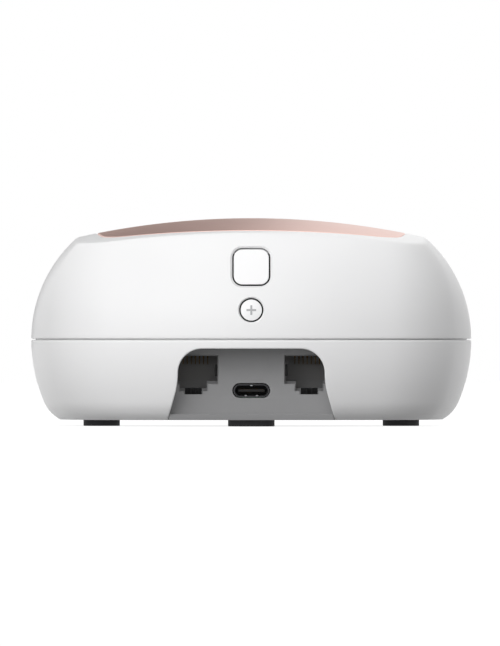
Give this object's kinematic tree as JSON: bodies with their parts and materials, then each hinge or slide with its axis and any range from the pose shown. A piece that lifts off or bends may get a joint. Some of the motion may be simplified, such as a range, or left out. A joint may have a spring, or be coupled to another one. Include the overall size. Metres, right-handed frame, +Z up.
{
  "type": "wireless network point",
  "caption": "Low rounded-square white case with a domed rose-gold top plate, rear bay with network and power sockets, and two push buttons above it.",
  "frame": {"origin": "on the surface it stands on, under the middle of the case", "axes": "+Z up; -Y towards the side with the sockets and buttons; +X to the right of someone who looks at that side"},
  "size_m": [0.11, 0.103, 0.0519],
  "materials": {
    "shell_white": "glossy white moulded plastic",
    "rose_gold": "satin rose-gold metallic paint on plastic",
    "film": "double-sided adhesive film",
    "panel_grey": "fine-textured grey plastic",
    "foot_rubber": "black rubber",
    "screw_steel": "zinc-plated steel",
    "button_white": "glossy white plastic",
    "switch_black": "black switch plastic",
    "board_green": "green solder resist over glass laminate",
    "ribbon": "flat flexible cable",
    "connector_ivory": "ivory connector plastic",
    "socket_dark": "dark grey socket plastic",
    "tin_plate": "tin-plated sheet steel",
    "contact_gold": "gold-plated spring contacts",
    "usb_steel": "stainless connector shell",
    "chip_black": "black epoxy package",
    "pad_blue": "soft thermal pad",
    "sink_aluminium": "extruded aluminium",
    "ferrite": "moulded ferrite",
    "capacitor_can": "aluminium can",
    "antenna_plate": "stamped and plated brass",
    "led_lens": "cast resin",
    "clear_plastic": "clear moulded plastic"
  },
  "bodies": {
    "root": {"top_shell": "shell_white", "bottom_shell": "shell_white", "top_plate": "rose_gold", "plate_film": "film", "port_panel": "panel_grey", "foot_left": "foot_rubber", "foot_right": "foot_rubber", "foot_front": "foot_rubber", "foot_rear": "foot_rubber", "case_screws": "screw_steel", "square_switch": "switch_black", "round_switch": "switch_black", "button_board": "board_green", "button_board_screws": "screw_steel", "ribbon_cable": "ribbon", "ribbon_sockets": "connector_ivory", "main_board": "board_green", "board_screws": "screw_steel", "lan_jack_left": "socket_dark", "lan_jack_right": "socket_dark", "lan_shield_left": "tin_plate", "lan_shield_right": "tin_plate", "lan_contacts_left": "contact_gold", "lan_contacts_right": "contact_gold", "usb_shell": "usb_steel", "usb_tongue": "socket_dark", "lan_transformer_left": "chip_black", "lan_transformer_right": "chip_black", "processor": "chip_black", "memory_chip": "chip_black", "flash_chip": "chip_black", "radio_chip": "chip_black", "radio_amplifiers": "chip_black", "processor_can": "tin_plate", "radio_can": "tin_plate", "thermal_pads": "pad_blue", "heat_sink": "sink_aluminium", "power_coil": "ferrite", "capacitors": "capacitor_can", "crystal": "tin_plate", "antenna_left": "antenna_plate", "antenna_right": "antenna_plate", "antenna_front_left": "antenna_plate", "antenna_front_right": "antenna_plate", "status_led": "led_lens", "light_guide": "clear_plastic"},
    "square_button": {"square_button": "button_white", "square_plunger": "switch_black"},
    "round_button": {"round_button": "button_white", "round_plunger": "switch_black"}
  },
  "joints": [
    {"name": "square_button_press", "type": "slide", "parent": "root", "child": "square_button", "axis": [0, 1, 0], "range_m": [0, 0.00035], "stiffness_N_per_m": 3000},
    {"name": "round_button_press", "type": "slide", "parent": "root", "child": "round_button", "axis": [0, 1, 0], "range_m": [0, 0.00035], "stiffness_N_per_m": 3000}
  ]
}
